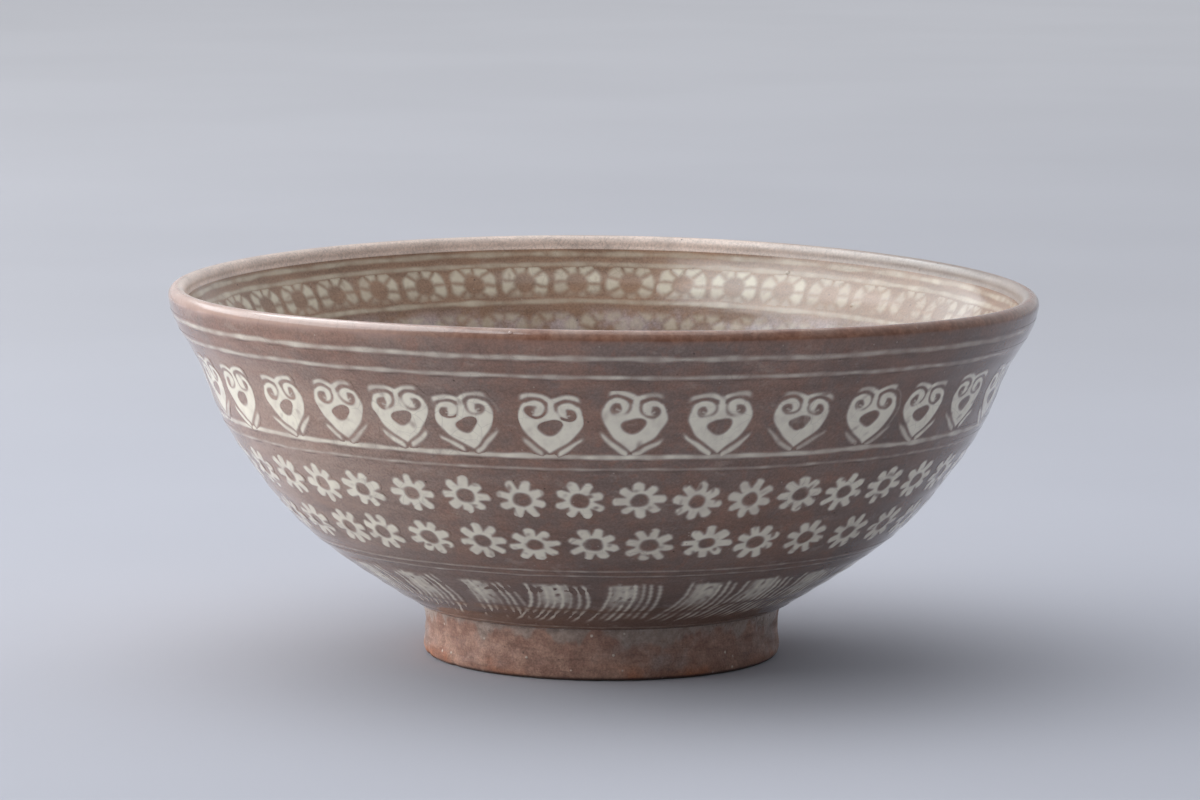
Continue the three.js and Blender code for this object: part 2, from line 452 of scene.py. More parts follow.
def rounded(corners, times=3):
    """A closed outline with its corners cut again and again, until it runs smoothly."""
    for _ in range(times):
        cut = []
        for (x0, y0), (x1, y1) in zip(corners, corners[1:] + corners[:1]):
            cut.append((0.75 * x0 + 0.25 * x1, 0.75 * y0 + 0.25 * y1))
            cut.append((0.25 * x0 + 0.75 * x1, 0.25 * y0 + 0.75 * y1))
        corners = cut
    return corners


def soft(distance, width=0.42):
    """Slip cover for a signed distance in mm: full inside, none outside, and blurred between."""
    return smooth(0.5 - distance / (2 * width))


def path_distance(u, v, points):
    """Distance to an open path."""
    best = np.full(u.shape, np.inf)
    for (x0, y0), (x1, y1) in zip(points, points[1:]):
        ex, ey = x1 - x0, y1 - y0
        part = np.clip(((u - x0) * ex + (v - y0) * ey) / (ex * ex + ey * ey), 0, 1)
        best = np.minimum(best, np.hypot(u - x0 - part * ex, v - y0 - part * ey))
    return best


def polygon_distance(u, v, corners):
    """Signed distance to a closed outline, below zero inside it."""
    closed = corners + corners[:1]
    inside = np.zeros(u.shape, bool)
    for (x0, y0), (x1, y1) in zip(closed, closed[1:]):
        across = (y0 > v) != (y1 > v)
        inside ^= across & (u < (x1 - x0) * (v - y0) / (y1 - y0 + 1e-12) + x0)
    distance = path_distance(u, v, closed)
    return np.where(inside, -distance, distance)


def volute(side):
    """The clay line that curls into one lobe of the heart: over its top, down its inner side and in."""
    path = []
    for turn in range(50, 450, 12):
        reach = 2.2 - smooth((turn - 120) / 150) - 0.65 * smooth((turn - 340) / 100)
        way = math.radians(turn)
        path.append((side * (LOBE_OUT + reach * math.cos(way)), VOLUTE_UP + reach * math.sin(way)))
    return path


def heart_outline():
    """The heart's lower point and sides, to which its lobes are added as circles."""
    right_side = [
        (0.4, -4.4), (1.5, -3.5), (2.9, -2.4), (4.2, -1.05),
        (5.1, 0.45), (5.4, 1.7), (5.05, 3.2), (2.0, 4.0),
    ]
    left_side = [(-x, y) for x, y in reversed(right_side)]
    return rounded([(0, -4.75)] + right_side + left_side, times=2)


HEART_OUTLINE = heart_outline()
HEART_EYE = rounded([(-2.8, 0.15), (0.8, 1.65), (2.5, 0.6), (-0.1, -2.0)])
HEART_ARM = [(6.2, -1.1), (4.6, -2.25), (3.0, -3.5), (1.6, -4.55), (0.5, -5.2)]
SIDES = ((-1, 0), (1, 1))  # left and right, each with the index of its random draws


def heart_cover(seed):
    """One stamped heart: lobes with a volute each, an eye, brows above, a chevron below and a border."""
    rng = np.random.default_rng(seed)
    tilt = math.radians(rng.normal(0, 3.5))
    scale = rng.uniform(0.97, 1.02)
    squash = rng.uniform(0.97, 1.03)
    shift_x, shift_y = rng.normal(0, 0.15), rng.normal(0, 0.18)
    brow_cover = rng.uniform(0.65, 0.95, 2)
    brow_end = rng.uniform(1.9, 3.4, 2)
    arm_cover = rng.uniform(0.6, 1.0, 2)
    arm_start = rng.uniform(-0.6, 1.6, 2)
    arm_end = rng.uniform(4.2, 6.0, 2)
    border_cover = np.clip(rng.uniform(-0.7, 0.6, 2), 0, 1)
    fill = rng.uniform(0.90, 1.0)
    line_half = rng.uniform(0.16, 0.26, 2)
    line_depth = rng.uniform(0.70, 0.95, 2)
    curl_out = LOBE_OUT + rng.normal(0.45, 0.15, 2)
    curl_size = rng.uniform(0.60, 0.78, 2)
    eye_fill = rng.uniform(-0.1, 0.4)

    def strokes(u, v, body, side, hand):
        """The brow, the chevron's arm and the border on one side."""
        out = side * u
        this_half = smooth(out / 0.3 + 0.5)
        away = np.hypot(u - side * BROW_OUT, v - BROW_UP)
        brow = soft(np.abs(away - BROW_RADIUS) - BROW_HALF) * smooth((v - 3.4) / 0.8)
        brow = brow * smooth((BROW_OUT + brow_end[hand] - out) / 1.4) * this_half
        brow = brow * (brow_cover[hand] + (1 - brow_cover[hand]) * smooth((2.2 - out) / 2))
        arm = path_distance(u, v, [(side * x, y) for x, y in HEART_ARM])
        arm = soft(arm - 0.33 - 0.20 * smooth((5.0 - out) / 2)) * this_half
        arm = arm * smooth((arm_end[hand] - out) / 1.2 + 0.5)
        arm = arm * smooth((out - arm_start[hand]) / 0.9 + 0.5) * arm_cover[hand]
        border = soft(np.abs(body - 0.85) - 0.18) * smooth((out - 3.4) / 1.0) * border_cover[hand]
        return np.maximum(np.maximum(brow, arm), border)

    def carved(u, v, total, side, hand):
        """The slip left when the volute's line and curl are cut from one lobe, with the curl's tongue."""
        line = path_distance(u, v, volute(side))
        depth = line_depth[hand] * smooth(0.9 + 0.5 * wobble(seed + 5, u, v, 4))
        total = total * (1 - depth * soft(line - line_half[hand]))
        curl = np.hypot(u - side * curl_out[hand], v - CURL_UP) - curl_size[hand]
        tongue = path_distance(u, v, [(side * 2.3, 2.3), (side * 3.0, 2.6)]) - 0.2
        return np.maximum(total * (1 - 0.95 * soft(curl)), 0.85 * soft(tongue))

    def cover(u, v):
        u, v = (u - shift_x) / scale, (v - shift_y) / (scale * squash)
        u, v = u * math.cos(tilt) + v * math.sin(tilt), v * math.cos(tilt) - u * math.sin(tilt)
        u = u + 0.12 * wobble(seed + 1, u, v, 5)
        v = v + 0.12 * wobble(seed + 2, u, v, 5)
        body = polygon_distance(u, v, HEART_OUTLINE)
        lobes = np.hypot(np.abs(u) - LOBE_OUT, v - LOBE_UP) - LOBE_RADIUS
        body = np.minimum(body, lobes)
        notch = soft(path_distance(u, v, [(0, 3.6), (0, 4.9)]) - 0.62)
        total = np.maximum(soft(body), notch)
        for side, hand in SIDES:
            total = np.maximum(total, strokes(u, v, body, side, hand))
        total = total * fill
        for side, hand in SIDES:
            total = carved(u, v, total, side, hand)
        worn = eye_fill * smooth(0.5 + wobble(seed + 4, u, v, 2.5))
        total = np.minimum(total, 1 - (1 - worn) * soft(polygon_distance(u, v, HEART_EYE)))
        return total * smooth(1.15 + 0.40 * wobble(seed + 3, u, v, 4))

    return cover


def sectors(u, v, turn, count):
    """Each point's radius, the number of its sector, and its angle from that sector's middle."""
    around = (np.arctan2(v, u) + turn) % (2 * math.pi)
    sector = np.minimum((around / (2 * math.pi) * count).astype(int), count - 1)
    return np.hypot(u, v), sector, around - (sector + 0.5) * 2 * math.pi / count


def flower_cover(seed):
    """One stamped flower: blunt petals round a bare clay middle."""
    rng = np.random.default_rng(seed)
    turn = rng.uniform(0, 2 * math.pi)
    stretch = rng.uniform(0.95, 1.05)
    fill = rng.uniform(0.8, 0.95)
    widths = rng.uniform(0.88, 1.12, PETALS)
    reach = FLOWER_RADIUS * rng.uniform(0.94, 1.06, PETALS)
    eye = rng.uniform(1.28, 1.5)

    def cover(u, v):
        u = u * stretch + 0.12 * wobble(seed + 1, u, v, 4)
        v = v / stretch + 0.12 * wobble(seed + 2, u, v, 4)
        r, petal, way = sectors(u, v, turn, PETALS)
        off = np.abs(way) * r
        out = np.cos(way) * r
        sides = off - (0.92 - 0.05 * (out - 3)) * widths[petal]
        tip = out - reach[petal] + 0.42 * (off / 0.8) ** 2
        leaf = np.maximum(sides, tip)
        ring = np.abs(r - (eye + FLOWER_RING_RADIUS) / 2) - (FLOWER_RING_RADIUS - eye) / 2
        shape = np.minimum(leaf, ring)
        shape = np.maximum(shape, eye - r)
        blot = smooth(1.15 + 0.5 * wobble(seed + 3, u, v, 3))
        return soft(shape, 0.48) * fill * blot

    return cover


def wedge_cover(seed, strength):
    """One stamp inside the bowl: a wheel of wedges of slip, clipped by the lines, its foot worn."""
    rng = np.random.default_rng(seed)
    turn = rng.normal(0, 0.10)
    worn = np.clip(rng.normal(0.92, 0.09, WEDGES), 0.5, 1) * strength
    low = rng.uniform(0.10, 0.60)
    outer, hub = rng.uniform(4.4, 4.75), rng.uniform(1.9, 2.2)

    def cover(u, v):
        u = u + 0.14 * wobble(seed + 1, u, v, 4)
        v = v + 0.14 * wobble(seed + 2, u, v, 4)
        r, wedge, way = sectors(u, v, turn, WEDGES)
        off = np.abs(way) * r
        sides = off - (math.pi / WEDGES * r - 0.18)
        rim = np.maximum(r - outer + 0.25 * (off / 1.2) ** 2, hub - r + 0.15 * (off / 0.8) ** 2)
        shape = np.maximum(sides, rim)
        shape = np.maximum(shape, np.abs(v) - WEDGE_BAND)
        faded = worn[wedge] * (low + (1 - low) * smooth((v + WEDGE_BAND) / 2.4))
        return soft(shape, 0.75) * faded * smooth(1.15 + 0.4 * wobble(seed + 3, u, v, 3))

    return cover


def comb_cover(seed, lean):
    """One sweep of the comb: seven or eight bowed strokes that run together near their tops."""
    rng = np.random.default_rng(seed)
    strokes = int(rng.integers(7, 9))
    height = COMB_BOTTOM - COMB_TOP
    paces = rng.normal(0, 0.08, strokes)
    covers = np.clip(rng.normal(0.78, 0.10, strokes), 0.5, 1)
    starts = rng.uniform(0.0, 0.10, strokes)
    ends = rng.uniform(0.90, 1.0, strokes)
    bow = rng.uniform(0.8, 1.7)
    beat = rng.uniform(1.3, 1.7)
    thin_row = rng.uniform(0.58, 0.72)
    core = rng.normal(-0.8, 0.7)

    def cover(u, v):
        down = 0.5 - v / height
        sunk = np.clip(down, 0, 1)
        u = u + 0.06 * wobble(seed + 1, u, v, 5)
        path = lean * sunk**1.7 + bow * np.sin(math.pi * sunk) - 0.3
        total = np.zeros(u.shape)
        for i in range(strokes):
            place = (i - (strokes - 1) / 2) * COMB_SPACING + paces[i]
            away = np.abs(u - path - place)
            beads = 0.05 * np.sin(v * 2 * math.pi / beat + i * 2.4)
            ink = soft(away - 0.42 - beads, 0.44) * covers[i]
            ink = ink * smooth((down - starts[i]) / 0.08) * smooth((ends[i] - down) / 0.14)
            total = np.maximum(total, ink)
        across = (u - path - core) / (strokes * 0.40)
        fill = np.exp(-(across**4)) * smooth((down - 0.04) / 0.08) * smooth((0.78 - down) / 0.40)
        fill = fill * smooth(1.0 + 0.45 * wobble(seed + 2, u, v, 2.6))
        total = np.maximum(total, 0.78 * fill) + 0.16 * total * fill
        row = np.exp(-(((down - thin_row) / 0.03) ** 2))
        faded = smooth(1.1 + 0.35 * wobble(seed + 3, u, v, 6)) * (1 - 0.15 * sunk)
        return total * (1 - 0.45 * row) * faded

    return cover


def round_the_bowl(front, behind):
    """The measured angles and evenly spaced ones over the rest of the turn, in radians."""
    step = (360 - (front[-1] - front[0])) / (behind + 1)
    return np.radians(list(front) + [front[-1] + step * (i + 1) for i in range(behind)])


# Materials


SPECK_SHIFT = (0.37, 0.11, 0.23)  # how far a seed moves the pattern of the specks, m
GLAZE_IOR = 1.65


class Nodes:
    """Short names for the nodes of a material or the world, with sizes and places in mm."""

    def __init__(self, owner, shader="Principled BSDF"):
        owner.use_nodes = True
        self.owner = owner
        self.tree = owner.node_tree
        self.shader = self.tree.nodes[shader]
        self.place = self.new("ShaderNodeTexCoord").outputs["Object"]
        self.axes = self.new("ShaderNodeSeparateXYZ")
        self.feed(self.axes.inputs[0], self.place)

    def new(self, kind, **settings):
        node = self.tree.nodes.new(kind)
        for key, value in settings.items():
            setattr(node, key, value)
        return node

    def feed(self, socket, value):
        """Links a socket to another one, or sets it to a value."""
        if isinstance(value, bpy.types.NodeSocket):
            self.tree.links.new(value, socket)
        else:
            socket.default_value = value

    def math(self, operation, a, b, kind="ShaderNodeMath"):
        node = self.new(kind, operation=operation)
        self.feed(node.inputs[0], a)
        self.feed(node.inputs[1], b)
        return node.outputs[0]

    def add(self, a, b):
        return self.math("ADD", a, b)

    def times(self, a, b):
        return self.math("MULTIPLY", a, b)

    def vector(self, operation, a, b):
        return self.math(operation, a, b, kind="ShaderNodeVectorMath")

    def mark(self, name):
        """What Skin keeps at each point of the mesh."""
        return self.new("ShaderNodeAttribute", attribute_name=name).outputs["Fac"]

    def stretched(self, x, y, z):
        """The place with its axes scaled; a texture gets finer along an axis with a larger number."""
        return self.vector("MULTIPLY", self.place, (x, y, z))

    def texture(self, kind, size_mm, place=None, **settings):
        node = self.new(kind, **settings)
        self.feed(node.inputs["Vector"], place or self.place)
        node.inputs["Scale"].default_value = 1 / (size_mm * MM)
        return node

    def noise(self, size_mm, detail=2.0, rough=0.5, place=None):
        node = self.texture("ShaderNodeTexNoise", size_mm, place)
        node.inputs["Detail"].default_value = detail
        node.inputs["Roughness"].default_value = rough
        return node.outputs["Fac"]

    def distorted(self, size_mm, by_mm):
        """The place, pushed about by noise, so that cells get crooked sides."""
        push = self.texture("ShaderNodeTexNoise", size_mm).outputs["Color"]
        push = self.vector("SUBTRACT", push, (0.5, 0.5, 0.5))
        return self.vector("ADD", self.place, self.vector("MULTIPLY", push, [by_mm * MM] * 3))

    def specks(self, size_mm, radius, share, seed):
        """Round spots of the given radius, in cell sizes, in a share of the cells."""
        moved = self.vector("ADD", self.place, [seed * shift for shift in SPECK_SHIFT])
        cells = self.texture("ShaderNodeTexVoronoi", size_mm, moved)
        chosen = self.new("ShaderNodeSeparateColor")
        self.feed(chosen.inputs[0], cells.outputs["Color"])
        spot = self.ramp(cells.outputs["Distance"], radius, radius * 0.4)
        return self.times(spot, self.math("LESS_THAN", chosen.outputs[0], share))

    def ramp(self, value, low, high, out_low=0.0, out_high=1.0):
        """A smooth way from one output to the other while the value goes from low to high."""
        node = self.new("ShaderNodeMapRange", interpolation_type="SMOOTHSTEP", clamp=True)
        self.feed(node.inputs["Value"], value)
        node.inputs["From Min"].default_value = low
        node.inputs["From Max"].default_value = high
        node.inputs["To Min"].default_value = out_low
        node.inputs["To Max"].default_value = out_high
        return node.outputs["Result"]

    def along(self, axis, start_mm, end_mm, out_start=0.0, out_end=1.0):
        """A ramp between two places on one axis of the bowl."""
        return self.ramp(self.axes.outputs[axis], start_mm * MM, end_mm * MM, out_start, out_end)

    def mix(self, part, a, b, blend="MIX"):
        node = self.new("ShaderNodeMix", data_type="RGBA", blend_type=blend)
        self.feed(node.inputs["Factor"], part)
        self.feed(node.inputs[6], a)
        self.feed(node.inputs[7], b)
        return node.outputs[2]

    def scaled(self, colour, light):
        """The colour times a plain number."""
        grey = self.new("ShaderNodeCombineColor")
        for channel in range(3):
            self.feed(grey.inputs[channel], light)
        return self.mix(1.0, colour, grey.outputs[0], "MULTIPLY")

    def bump(self, height, distance_mm, strength, under=None):
        node = self.new("ShaderNodeBump")
        self.feed(node.inputs["Height"], height)
        node.inputs["Distance"].default_value = distance_mm * MM
        node.inputs["Strength"].default_value = strength
        if under:
            self.feed(node.inputs["Normal"], under)
        return node.outputs["Normal"]


# Colours of the clay under the glaze, with painted light and shade among them
BROWN_CLAY = (0.262, 0.147, 0.104, 1)
GREY_CLAY = (0.217, 0.143, 0.113, 1)
RED_CLAY = (0.290, 0.136, 0.090, 1)
# Painted light on the left of the wall
PAINTED_LIT_CLAY = (0.420, 0.298, 0.236, 1)
INNER_CLAY = (0.355, 0.218, 0.134, 1)
INNER_GREY = (0.560, 0.480, 0.485, 1)
LIP_CLAY = (0.840, 0.690, 0.600, 1)
SHADED_LIP_CLAY = (0.360, 0.295, 0.255, 1)
# Dark specks and crackle in the clay, also used for painted shade: under the slip lines, on the right of
# the wall and at the foot's bottom edge
DARK_SPECK_AND_PAINTED_SHADE = (0.045, 0.024, 0.017, 1)
PALE_GRAIN = (0.46, 0.36, 0.29, 1)
RUST = (0.200, 0.075, 0.040, 1)
PALE_RUST = (0.390, 0.190, 0.118, 1)
# Painted highlight for the rust on the left of the lip
PAINTED_HIGHLIGHT_RUST = (0.520, 0.370, 0.310, 1)

# Slip
WHITE_SLIP = (0.88, 0.82, 0.675, 1)
THIN_SLIP = (0.50, 0.41, 0.345, 1)
INNER_SLIP = (0.70, 0.64, 0.48, 1)

# Foot: the first three are a dark and a pale tone each
FOOT_RED = ((0.275, 0.148, 0.108, 1), (0.410, 0.246, 0.182, 1))
FOOT_MAUVE = ((0.225, 0.162, 0.140, 1), (0.305, 0.236, 0.212, 1))
FOOT_FILM = ((0.270, 0.216, 0.180, 1), (0.390, 0.318, 0.268, 1))
FOOT_ORANGE = (0.400, 0.140, 0.060, 1)
FOOT_STREAK = (0.150, 0.085, 0.065, 1)
FOOT_GRIT = (0.66, 0.57, 0.49, 1)

# Floor and room: the room's light grows by ROOM_SLOPE along each axis from ROOM_LEVEL
FLOOR_NEAR = (0.518, 0.534, 0.590, 1)
FLOOR_MIDDLE = (0.490, 0.500, 0.540, 1)
FLOOR_FAR = (0.757, 0.762, 0.792, 1)
BACKGROUND = (0.49, 0.505, 0.55, 1)
ROOM_SLOPE = (-0.18, 0.30, 0.22)
ROOM_LEVEL = 0.44
ROOM_TINT = (0.98, 1.0, 1.05, 1)
WINDOW_TINT = (0.90, 1.0, 1.06)
PANEL_HEIGHT = 1.0
SHINE_HEIGHT = 0.98  # the lamps that only shine hang a little below the panel


def clay_colour(n, middle, grain):
    """Mottled clay: painted light on the left, painted shade low on the wall, towards the right and on the
    lip's right, cloudy low inside, pale at the lip and rusty on its crest, with a painted highlight on the
    rust to the left.
    """
    large = n.noise(24, 3, 0.55)
    small = n.noise(1.3, 3, 0.65)
    tone = n.add(n.times(large, 0.5), n.times(middle, 0.5))
    clay = n.mix(n.ramp(tone, 0.42, 0.58), BROWN_CLAY, GREY_CLAY)
    clay = n.mix(n.ramp(small, 0.50, 0.72, 0.0, 0.5), clay, RED_CLAY)
    clay = n.mix(n.along("Z", 24, 13, 0.0, 0.65), clay, GREY_CLAY)
    # Painted light: the clay paler on the left of the wall, less so near the lip and low down
    painted_light = n.times(n.along("X", -5, -60), n.ramp(tone, 0.35, 0.6, 0.5, 0.9))
    painted_light = n.times(painted_light, n.along("Z", 61, 50, 0.2, 1.0))
    painted_light = n.times(painted_light, n.along("Z", 16, 38, 0.75, 1.0))
    clay = n.mix(painted_light, clay, PAINTED_LIT_CLAY)

    clouds = n.times(n.along("Z", 53.5, 50), n.ramp(n.noise(6, 4, 0.65), 0.36, 0.62, 0.05, 0.9))
    inner_clay = n.mix(clouds, INNER_CLAY, INNER_GREY)
    clay = n.mix(n.times(n.mark("inside"), 0.85), clay, inner_clay)
    # Painted shade: the lip darker towards the right
    lip_clay = n.mix(n.along("X", 5, 60), LIP_CLAY, SHADED_LIP_CLAY)
    clay = n.mix(n.mark("lip"), clay, lip_clay)

    streak = n.noise(9, 3, 0.6, place=n.stretched(1, 1, 5))
    drift = n.noise(11, 3, 0.6, place=n.stretched(1, 1, 1.7))
    light = n.add(n.ramp(streak, 0.3, 0.7, 0.90, 1.09), n.ramp(grain, 0.25, 0.75, -0.17, 0.17))
    light = n.add(light, n.ramp(drift, 0.3, 0.7, -0.11, 0.09))
    # Painted shade: darker low on the wall and towards the right
    light = n.times(light, n.along("Z", 16, 36, 0.84, 1.0))
    light = n.times(light, n.along("X", 30, 68, 1.0, 0.80))
    clay = n.scaled(clay, light)

    film = n.noise(6, 4, 0.7, place=n.stretched(1, 1, 2))
    clay = n.mix(n.ramp(film, 0.56, 0.72, 0.0, 0.22), clay, THIN_SLIP)
    clay = n.mix(n.times(n.specks(2.4, 0.10, 0.30, 1), 0.8), clay, DARK_SPECK_AND_PAINTED_SHADE)
    clay = n.mix(n.times(n.specks(2.1, 0.10, 0.35, 2), 0.6), clay, PALE_GRAIN)

    rust = n.mix(n.ramp(small, 0.30, 0.80), RUST, PALE_RUST)
    # Painted highlight: the rust paler towards the left
    rust = n.mix(n.along("X", -10, -50, 0.0, 0.7), rust, PAINTED_HIGHLIGHT_RUST)
    rusty = n.times(n.mark("rust"), n.ramp(middle, 0.25, 0.6, 0.75, 1.0))
    clay = n.mix(rusty, clay, rust)
    outside = n.math("SUBTRACT", 1.0, n.mark("inside"))
    # Painted shade: the outside darker towards the right
    clay = n.mix(n.times(n.along("X", 30, 55, 0.0, 0.22), outside), clay, DARK_SPECK_AND_PAINTED_SHADE)
    # Painted shade of the groove along the lower edge of each slip line
    return n.mix(n.times(n.mark("shade"), 0.6), clay, DARK_SPECK_AND_PAINTED_SHADE)


def slip_colour(n, cover):
    """White slip, browner where its cover is thin, and yellower inside the bowl."""
    slip = n.mix(n.ramp(cover, 0.30, 1.0), THIN_SLIP, WHITE_SLIP)
    slip = n.mix(n.ramp(n.noise(2.4, 3, 0.6), 0.40, 0.75, 0.0, 0.35), slip, THIN_SLIP)
    slip = n.mix(n.times(n.specks(3.2, 0.06, 0.25, 3), 0.5), slip, BROWN_CLAY)
    return n.mix(n.times(n.mark("inside"), 0.6), slip, INNER_SLIP)


def glazed():
    """Clear, glossy and finely crackled glaze over the clay and the slip."""
    n = Nodes(bpy.data.materials.new("glazed_wall"))
    middle = n.noise(5.5, 4, 0.6)
    grain = n.noise(0.42, 2, 0.7)
    slip = n.mark("slip")
    ragged = n.times(n.add(n.noise(0.6, 3, 0.7), -0.5), 0.5)
    cover = n.ramp(n.add(slip, n.times(ragged, slip)), 0.02, 0.95)
    colour = n.mix(cover, clay_colour(n, middle, grain), slip_colour(n, slip))

    crooked = n.distorted(2.0, 0.8)
    cells = n.texture("ShaderNodeTexVoronoi", 2.8, crooked, feature="DISTANCE_TO_EDGE")
    crackle = n.times(n.ramp(cells.outputs["Distance"], 0.030, 0.006), n.ramp(n.noise(16), 0.42, 0.60))
    colour = n.mix(n.times(crackle, 0.16), colour, DARK_SPECK_AND_PAINTED_SHADE)
    n.feed(n.shader.inputs["Base Color"], colour)

    satin = n.add(n.times(n.mark("lip"), 0.20), n.times(n.mark("inside"), 0.10))
    n.feed(n.shader.inputs["Roughness"], n.add(n.ramp(middle, 0.25, 0.75, 0.06, 0.12), satin))
    n.shader.inputs["IOR"].default_value = GLAZE_IOR
    waves = n.bump(n.noise(4.0), 0.10, 0.5)
    pits = n.bump(n.specks(1.9, 0.10, 0.2, 4), -0.05, 0.5, under=waves)
    grit = n.bump(n.specks(5.5, 0.08, 0.35, 7), 0.12, 0.7, under=pits)
    n.feed(n.shader.inputs["Normal"], n.bump(grain, 0.008, 0.5, under=grit))
    return n.owner


def bare_foot():
    """Foot of bare reddish clay, with a film of glaze run down over its top, grit and turning marks, and
    painted shade on its right side and along its bottom edge.
    """
    n = Nodes(bpy.data.materials.new("bare_foot"))
    large = n.noise(12, 4, 0.6)
    middle = n.noise(3.0, 4, 0.65)
    small = n.noise(0.9, 3, 0.7)
    grain = n.noise(0.35, 3, 0.7)
    streak = n.noise(7, 3, 0.6, place=n.stretched(1, 1, 7))
    runs = n.noise(5.5, 3, 0.6, place=n.stretched(1, 1, 0.35))
    grit = n.specks(2.4, 0.14, 0.75, 5)
    mottled = n.ramp(middle, 0.36, 0.64)
    mauve = n.ramp(large, 0.52, 0.68, 0.0, 0.8)
    colour = n.mix(mauve, n.mix(mottled, *FOOT_RED), n.mix(mottled, *FOOT_MAUVE))

    uneven = n.add(n.axes.outputs["Z"], n.times(n.add(large, -0.5), 6 * MM))
    orange = n.times(n.ramp(uneven, 3.6 * MM, 0.6 * MM), n.ramp(n.noise(13), 0.47, 0.60))
    colour = n.mix(n.times(orange, 0.75), colour, FOOT_ORANGE)
    colour = n.mix(n.ramp(streak, 0.50, 0.72, 0.0, 0.45), colour, FOOT_STREAK)
    light = n.add(n.ramp(small, 0.3, 0.7, 0.86, 1.12), n.ramp(grain, 0.3, 0.7, -0.20, 0.20))
    # Painted shade: the foot darker towards the right
    light = n.times(light, n.along("X", 12, 34, 1.0, 0.82))
    colour = n.scaled(colour, light)

    dripping = n.add(uneven, n.times(n.add(runs, -0.5), 12 * MM))
    film = n.ramp(dripping, 6.6 * MM, 8.0 * MM)
    colour = n.mix(n.times(film, 0.75), colour, n.mix(n.ramp(small, 0.35, 0.65), *FOOT_FILM))
    colour = n.mix(n.times(grit, 0.85), colour, FOOT_GRIT)
    colour = n.mix(n.times(n.specks(1.5, 0.13, 0.25, 6), 0.6), colour, DARK_SPECK_AND_PAINTED_SHADE)
    # Painted shadow: the foot darkest along its bottom edge, where it meets the floor
    colour = n.mix(n.along("Z", 0.8, 0.3, 0.0, 0.85), colour, DARK_SPECK_AND_PAINTED_SHADE)
    n.feed(n.shader.inputs["Base Color"], colour)

    rough = n.add(n.ramp(middle, 0.3, 0.7, 0.45, 0.65), n.times(film, -0.25))
    n.feed(n.shader.inputs["Roughness"], rough)
    pitted = n.bump(grain, 0.07, 0.8)
    marks = n.bump(streak, 0.12, 0.7, under=pitted)
    crumbs = n.bump(grit, 0.12, 0.8, under=marks)
    n.feed(n.shader.inputs["Normal"], n.bump(middle, 0.16, 0.7, under=crumbs))
    return n.owner


def floor_material():
    """Pale paper, painted a little darker from a little behind the bowl and painted lighter far behind it,
    where less light falls.
    """
    n = Nodes(bpy.data.materials.new("floor"))
    colour = n.mix(n.along("Y", 150, 550), FLOOR_NEAR, FLOOR_MIDDLE)
    colour = n.mix(n.along("Y", 500, 1900), colour, FLOOR_FAR)
    cloud = n.ramp(n.noise(150), 0.3, 0.7, 0.985, 1.015)
    n.feed(n.shader.inputs["Base Color"], n.scaled(colour, cloud))
    n.shader.inputs["Roughness"].default_value = 0.8
    n.shader.inputs["Specular IOR Level"].default_value = 0.0
    return n.owner


# Pieces


def rust_at(side, angle):
    """Thin iron-rich glaze over the crest of the lip; side goes from 0 outside to 1 inside."""
    lower = smooth((side + 0.08 + 0.03 * round_noise(RUST_SEED, angle, 40)) / 0.14)
    upper = smooth((0.60 - side + 0.04 * round_noise(RUST_SEED + 1, angle, 30)) / 0.12)
    return np.clip(lower * upper * (0.85 + 0.2 * round_noise(RUST_SEED + 2, angle, 50)), 0, 1)


def make_wall(material):
    """The whole wall as one closed solid of revolution: underside, outer face, lip, inner face."""
    columns, under_rows, outer_rows, lip_rows, inner_rows = 320, 26, 118, 22, 130
    fan = 0.3  # radius of the fans of triangles that close both faces
    lip_gap = 0.35  # from the lip's half-round to the next row on both faces
    rust_run = 0.085  # how fast the rust ends below the lip, in sides of the lip per mm
    angle = np.linspace(0, 2 * math.pi, columns, endpoint=False)
    points, rust, inside, lip = [], [], [], []

    def row(where, rust_here=0.0, inside_here=0.0, lip_here=0.0):
        points.append(where)
        rust.append(np.broadcast_to(rust_here, columns))
        inside.append(np.full(columns, inside_here))
        lip.append(np.full(columns, lip_here))

    for r in np.linspace(fan, STATIONS[0][0] - fan, under_rows):
        turning_mark = 0.12 * math.sin(r * 1.9) * smooth((27 - r) / 6)
        row(bend(angle, r, FOOT_HEIGHT - UNDERSIDE_DROP + turning_mark))
    for down in np.linspace(OUTER.length, lip_gap, outer_rows):
        row(OUTER.place(angle, down), rust_at(-rust_run * down, angle))
    half_lip = STATIONS[-1][2] / 2
    for i in range(lip_rows + 1):
        side = i / lip_rows
        r = RIM_RADIUS - half_lip + half_lip * math.cos(math.pi * side)
        z = TOP - LIP_RISE + LIP_RISE * math.sin(math.pi * side)
        row(bend(angle, r, z), rust_at(side, angle), side, smooth(side * 1.4))
    for down in np.linspace(lip_gap, INNER.length - fan, inner_rows):
        row(INNER.place(angle, down), 0.0, 1.0, smooth((1.4 - down) / 0.6))

    rows = len(points)
    last = (rows - 1) * columns
    under_centre, inner_centre = rows * columns, rows * columns + 1
    faces = grid_faces(rows, columns, closed=True)
    faces += [(under_centre, (j + 1) % columns, j) for j in range(columns)]
    faces += [(inner_centre, last + j, last + (j + 1) % columns) for j in range(columns)]
    skin = Skin()
    skin.add(
        np.concatenate(points + [[points[0].mean(0), points[-1].mean(0)]]),
        faces,
        rust=np.concatenate(rust + [np.zeros(2)]),
        inside=np.concatenate(inside + [[0.0, 1.0]]),
        lip=np.concatenate(lip + [np.zeros(2)]),
    )
    skin.build("bowl_wall_finished", material, ["bowl_wall"])


